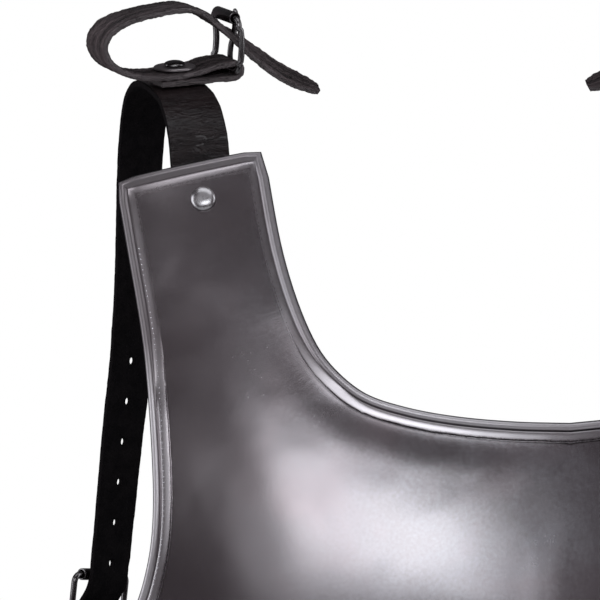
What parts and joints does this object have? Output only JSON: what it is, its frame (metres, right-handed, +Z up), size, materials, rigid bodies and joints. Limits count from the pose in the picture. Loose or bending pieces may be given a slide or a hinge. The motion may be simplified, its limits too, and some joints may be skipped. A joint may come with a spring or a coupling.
{
  "type": "steel breastplate",
  "caption": "Steel breastplate with rolled edges, leather shoulder straps buckled to the flanks, and a small buckled loop on each shoulder.",
  "frame": {"origin": "midway between the two shoulder straps, level with the underside of their arches, where the breastplate hangs on the wearer's shoulders", "axes": "+X to the wearer's left, the front of the chest towards -Y, +Z up"},
  "size_m": [0.3836, 0.241, 0.5073],
  "materials": {
    "plate_steel": "darkened, softly polished, mottled",
    "rivet_steel": "satin",
    "strap_leather": "black grain leather, matt flesh side",
    "loop_leather": "rough black leather",
    "buckle_steel": "blackened steel"
  },
  "bodies": {
    "root": {"breastplate": "plate_steel", "shoulder_rivet_right": "rivet_steel", "shoulder_rivet_left": "rivet_steel", "flank_rivet_right": "rivet_steel", "flank_rivet_left": "rivet_steel", "shoulder_strap_right": "strap_leather", "shoulder_strap_left": "strap_leather", "flank_strap_right": "strap_leather", "flank_strap_left": "strap_leather", "pauldron_strap_right": "loop_leather", "pauldron_strap_left": "loop_leather", "pauldron_washer_right": "buckle_steel", "pauldron_washer_left": "buckle_steel", "pauldron_rivet_right": "buckle_steel", "pauldron_rivet_left": "buckle_steel", "pauldron_buckle_frame_right": "buckle_steel", "pauldron_buckle_frame_left": "buckle_steel", "pauldron_buckle_roller_right": "buckle_steel", "pauldron_buckle_roller_left": "buckle_steel", "pauldron_buckle_tongue_right": "buckle_steel", "pauldron_buckle_tongue_left": "buckle_steel", "flank_buckle_frame_right": "buckle_steel", "flank_buckle_frame_left": "buckle_steel", "flank_buckle_roller_right": "buckle_steel", "flank_buckle_roller_left": "buckle_steel", "flank_buckle_tongue_right": "buckle_steel", "flank_buckle_tongue_left": "buckle_steel"}
  },
  "joints": []
}
